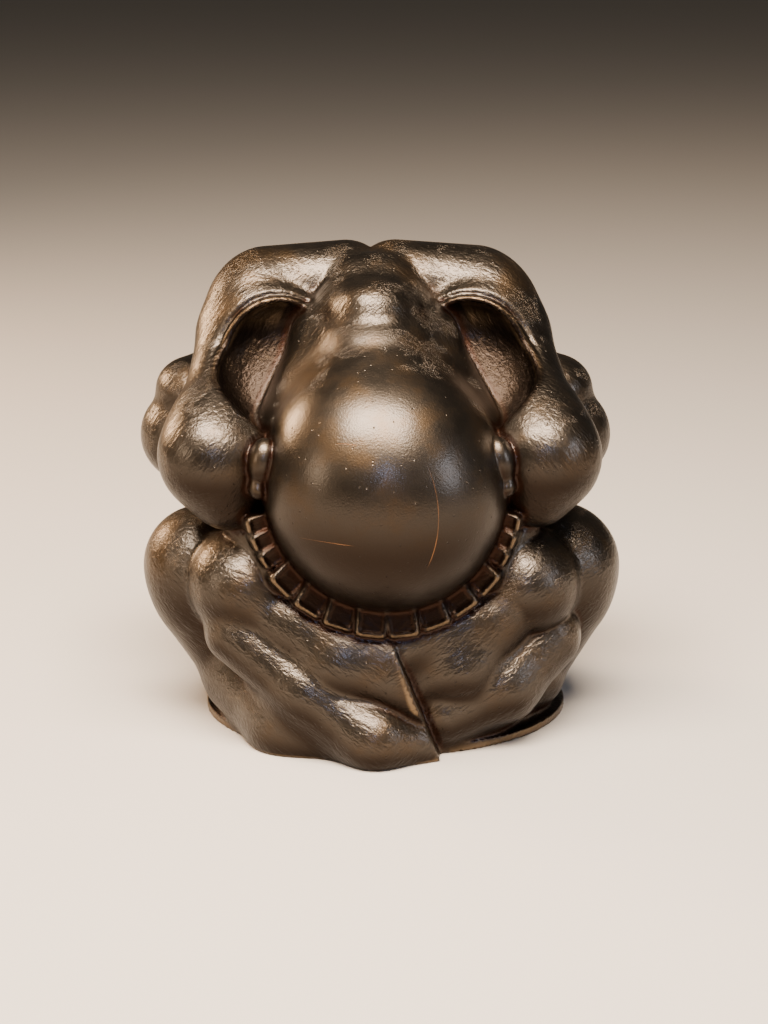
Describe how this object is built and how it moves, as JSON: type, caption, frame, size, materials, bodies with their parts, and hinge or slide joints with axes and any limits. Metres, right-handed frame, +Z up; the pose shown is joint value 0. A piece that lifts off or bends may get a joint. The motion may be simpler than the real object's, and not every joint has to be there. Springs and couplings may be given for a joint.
{
  "type": "human figure sculpture",
  "caption": "Small cast bronze of a seated mourner: bald head bowed into both hands, elbows on the knees, legs crossed, flat underside.",
  "frame": {"origin": "middle of the flat underside, under the figure's mirror plane", "axes": "+Z up, -Y to the figure's front, where the bowed head and the crossed shins are, +X to the right of someone who faces the figure"},
  "size_m": [0.13, 0.1127, 0.125],
  "materials": {
    "dark_bronze": "cast bronze with a brown-black patina, waxed to a soft sheen, rubbed brighter on the raised forms"
  },
  "bodies": {
    "root": {"seated_figure": "dark_bronze"}
  },
  "joints": []
}
